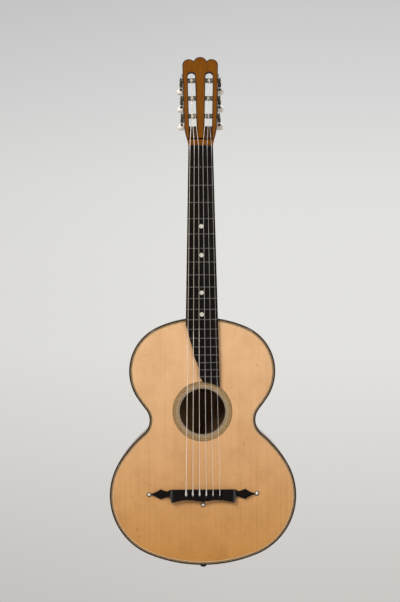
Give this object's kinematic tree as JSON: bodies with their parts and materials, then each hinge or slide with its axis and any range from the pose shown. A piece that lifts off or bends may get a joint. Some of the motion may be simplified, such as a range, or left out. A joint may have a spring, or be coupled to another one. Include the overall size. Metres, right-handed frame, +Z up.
{
  "type": "acoustic guitar",
  "caption": "Small flat-top guitar with a slotted three-lobed headstock, geared tuning machines, stepped fingerboard end, winged pin bridge and a round sound hole.",
  "frame": {"origin": "on the centre line at the front edge of the nut, in the plane of the soundboard's face", "axes": "+Z up the neck from the body to the headstock, +Y from the soundboard into the body, +X towards the treble strings"},
  "size_m": [0.3468, 0.1007, 0.9594],
  "materials": {
    "soundboard": "glossy varnish",
    "rosette": "glossy varnish",
    "binding": "glossy varnish",
    "purfling": "glossy varnish",
    "side_wood": "glossy varnish",
    "inside_wood": "bare",
    "neck_wood": "glossy varnish",
    "ebony": "satin",
    "pearl": "polished",
    "button_pearl": "polished",
    "roller_metal": "aged",
    "tuner_metal": "aged",
    "wound_string": "wound",
    "plain_string": "drawn"
  },
  "bodies": {
    "instrument": {"soundboard": "soundboard", "rosette": "rosette", "front_binding": "binding", "front_purfling": "purfling", "back_plate": "side_wood", "back_binding": "binding", "rib_bass": "side_wood", "rib_treble": "side_wood", "lining_front": "inside_wood", "lining_back": "inside_wood", "neck_block": "inside_wood", "tail_block": "inside_wood", "top_bar_upper": "inside_wood", "top_bar_lower": "inside_wood", "back_bar_upper": "inside_wood", "back_bar_lower": "inside_wood", "neck": "neck_wood", "heel_cap": "ebony", "headstock": "neck_wood", "fingerboard": "ebony", "nut": "ebony", "position_dot_1": "pearl", "position_dot_2": "pearl", "position_dot_3": "pearl", "position_dot_4": "pearl", "bridge": "ebony", "saddle": "ebony", "bridge_pin_1": "ebony", "bridge_pin_2": "ebony", "bridge_pin_3": "ebony", "bridge_pin_4": "ebony", "bridge_pin_5": "ebony", "bridge_pin_6": "ebony", "string_6_e": "wound_string", "string_5_a": "wound_string", "string_4_d": "wound_string", "string_3_g": "plain_string", "string_2_b": "plain_string", "string_1_e": "plain_string", "end_pin": "ebony", "tuner_plate_bass": "tuner_metal", "tuner_plate_treble": "tuner_metal"},
    "knob_bass_1": {"worm_bass_1": "tuner_metal", "button_bass_1": "button_pearl"},
    "roller_bass_1": {"roller_bass_1": "roller_metal"},
    "knob_bass_2": {"worm_bass_2": "tuner_metal", "button_bass_2": "button_pearl"},
    "roller_bass_2": {"roller_bass_2": "roller_metal"},
    "knob_bass_3": {"worm_bass_3": "tuner_metal", "button_bass_3": "button_pearl"},
    "roller_bass_3": {"roller_bass_3": "roller_metal"},
    "knob_treble_1": {"worm_treble_1": "tuner_metal", "button_treble_1": "button_pearl"},
    "roller_treble_1": {"roller_treble_1": "roller_metal"},
    "knob_treble_2": {"worm_treble_2": "tuner_metal", "button_treble_2": "button_pearl"},
    "roller_treble_2": {"roller_treble_2": "roller_metal"},
    "knob_treble_3": {"worm_treble_3": "tuner_metal", "button_treble_3": "button_pearl"},
    "roller_treble_3": {"roller_treble_3": "roller_metal"}
  },
  "joints": [
    {"name": "knob_turn_bass_1", "type": "hinge", "parent": "instrument", "child": "knob_bass_1", "pos_m": [-0.03513, 0.02137, 0.05342], "axis": [0, 0.9744, -0.225], "continuous": true},
    {"name": "roller_turn_bass_1", "type": "hinge", "parent": "instrument", "child": "roller_bass_1", "pos_m": [-0.03111, 0.02313, 0.06102], "axis": [0.9997, 0.0054, 0.0233], "continuous": true},
    {"name": "knob_turn_bass_2", "type": "hinge", "parent": "instrument", "child": "knob_bass_2", "pos_m": [-0.03597, 0.02924, 0.08751], "axis": [0, 0.9744, -0.225], "continuous": true},
    {"name": "roller_turn_bass_2", "type": "hinge", "parent": "instrument", "child": "roller_bass_2", "pos_m": [-0.03195, 0.031, 0.09511], "axis": [0.9997, 0.0054, 0.0233], "continuous": true},
    {"name": "knob_turn_bass_3", "type": "hinge", "parent": "instrument", "child": "knob_bass_3", "pos_m": [-0.0368, 0.03711, 0.12161], "axis": [0, 0.9744, -0.225], "continuous": true},
    {"name": "roller_turn_bass_3", "type": "hinge", "parent": "instrument", "child": "roller_bass_3", "pos_m": [-0.03279, 0.03887, 0.12921], "axis": [0.9997, 0.0054, 0.0233], "continuous": true},
    {"name": "knob_turn_treble_1", "type": "hinge", "parent": "instrument", "child": "knob_treble_1", "pos_m": [0.03513, 0.02137, 0.05342], "axis": [0, 0.9744, -0.225], "continuous": true},
    {"name": "roller_turn_treble_1", "type": "hinge", "parent": "instrument", "child": "roller_treble_1", "pos_m": [0.03111, 0.02313, 0.06102], "axis": [0.9997, -0.0054, -0.0233], "continuous": true},
    {"name": "knob_turn_treble_2", "type": "hinge", "parent": "instrument", "child": "knob_treble_2", "pos_m": [0.03597, 0.02924, 0.08751], "axis": [0, 0.9744, -0.225], "continuous": true},
    {"name": "roller_turn_treble_2", "type": "hinge", "parent": "instrument", "child": "roller_treble_2", "pos_m": [0.03195, 0.031, 0.09511], "axis": [0.9997, -0.0054, -0.0233], "continuous": true},
    {"name": "knob_turn_treble_3", "type": "hinge", "parent": "instrument", "child": "knob_treble_3", "pos_m": [0.0368, 0.03711, 0.12161], "axis": [0, 0.9744, -0.225], "continuous": true},
    {"name": "roller_turn_treble_3", "type": "hinge", "parent": "instrument", "child": "roller_treble_3", "pos_m": [0.03279, 0.03887, 0.12921], "axis": [0.9997, -0.0054, -0.0233], "continuous": true}
  ],
  "couplings": [
    {"joint": "roller_turn_bass_1", "follows": "knob_turn_bass_1", "ratio": -0.071429},
    {"joint": "roller_turn_bass_2", "follows": "knob_turn_bass_2", "ratio": -0.071429},
    {"joint": "roller_turn_bass_3", "follows": "knob_turn_bass_3", "ratio": -0.071429},
    {"joint": "roller_turn_treble_1", "follows": "knob_turn_treble_1", "ratio": -0.071429},
    {"joint": "roller_turn_treble_2", "follows": "knob_turn_treble_2", "ratio": -0.071429},
    {"joint": "roller_turn_treble_3", "follows": "knob_turn_treble_3", "ratio": -0.071429}
  ]
}
